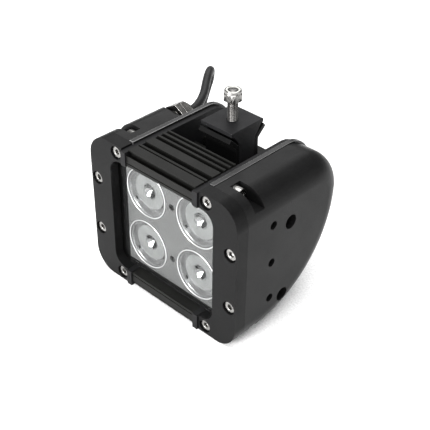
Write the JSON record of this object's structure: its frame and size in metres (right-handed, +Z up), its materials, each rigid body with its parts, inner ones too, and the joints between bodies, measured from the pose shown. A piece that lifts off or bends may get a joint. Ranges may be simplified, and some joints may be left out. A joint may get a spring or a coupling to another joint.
{
  "type": "led fog light",
  "caption": "Square LED fog light with finned black body, cast end covers, bright reflectors behind a clear lens, a sliding bolt foot and a coiled supply lead.",
  "frame": {"origin": "centre of the light's box in plan, on the surface its covers' undersides stand on; the lead isn't counted", "axes": "+X to the light's left-hand side as it faces forward (right in a front view), +Y from the lens to the back, +Z up to the foot and its bolt"},
  "size_m": [0.1302, 0.1437, 0.1173],
  "materials": {
    "body_black": "satin black coat on extruded aluminium",
    "cover_black": "satin black powder coat on cast aluminium",
    "bezel_black": "satin black powder coat",
    "rim_black": "satin black coat, edges rubbed brighter",
    "seal_rubber": "matt black silicone",
    "lens_clear": "clear moulded polycarbonate",
    "tray_silver": "satin silver",
    "reflector_bright": "bright vacuum metallised",
    "optic_clear": "clear moulded optic",
    "board_white": "white solder mask",
    "led_yellow": "clear dome over yellow phosphor",
    "board_green": "green solder mask",
    "driver_dark": "moulded components",
    "screw_black": "black oxide",
    "steel": "stainless, plain",
    "saddle_black": "satin black coat on bent steel",
    "foot_black": "matt black moulded rubber",
    "nylon": "natural nylon",
    "gland_nickel": "nickel plated brass",
    "lead_rubber": "matt black rubber sheath",
    "tie_black": "moulded nylon",
    "plug_black": "moulded nylon",
    "plug_seal_red": "silicone wire seal",
    "pins_brass": "tinned brass"
  },
  "bodies": {
    "light": {"housing": "body_black", "seal_left": "seal_rubber", "seal_right": "seal_rubber", "rim_left": "rim_black", "rim_right": "rim_black", "cover_left": "cover_black", "cover_right": "cover_black", "side_bosses_left": "cover_black", "side_bosses_right": "cover_black", "bezel_left": "bezel_black", "bezel_right": "bezel_black", "lens": "lens_clear", "lens_gasket": "seal_rubber", "reflector_tray": "tray_silver", "reflectors": "reflector_bright", "collimators": "optic_clear", "led_board": "board_white", "leds": "led_yellow", "driver_board": "board_green", "driver_parts": "driver_dark", "tray_screws": "screw_black", "bezel_screws": "steel", "cover_screws": "steel", "cover_washers": "steel", "gland_body": "gland_nickel", "gland_nut": "gland_nickel", "gland_seal": "seal_rubber", "cable": "lead_rubber", "cable_coil": "lead_rubber", "cable_tail": "lead_rubber", "cable_tie": "tie_black", "plug_body": "plug_black", "plug_seal": "plug_seal_red", "plug_pins": "pins_brass"},
    "bolt": {"foot_bolt": "steel"},
    "bracket": {"saddle": "saddle_black", "foot": "foot_black"},
    "nut": {"foot_nut": "steel", "nut_ring": "nylon"}
  },
  "joints": [
    {"name": "track_slide", "type": "slide", "parent": "light", "child": "bolt", "axis": [1, 0, 0], "range_m": [-0.01, 0.01]},
    {"name": "foot_swivel", "type": "hinge", "parent": "bolt", "child": "bracket", "pos_m": [0, 0.01225, 0.086], "axis": [0, 0, 1], "range_deg": [-15, 15]},
    {"name": "nut_travel", "type": "slide", "parent": "bolt", "child": "nut", "axis": [0, 0, 1], "range_m": [-0.012, 0]}
  ]
}
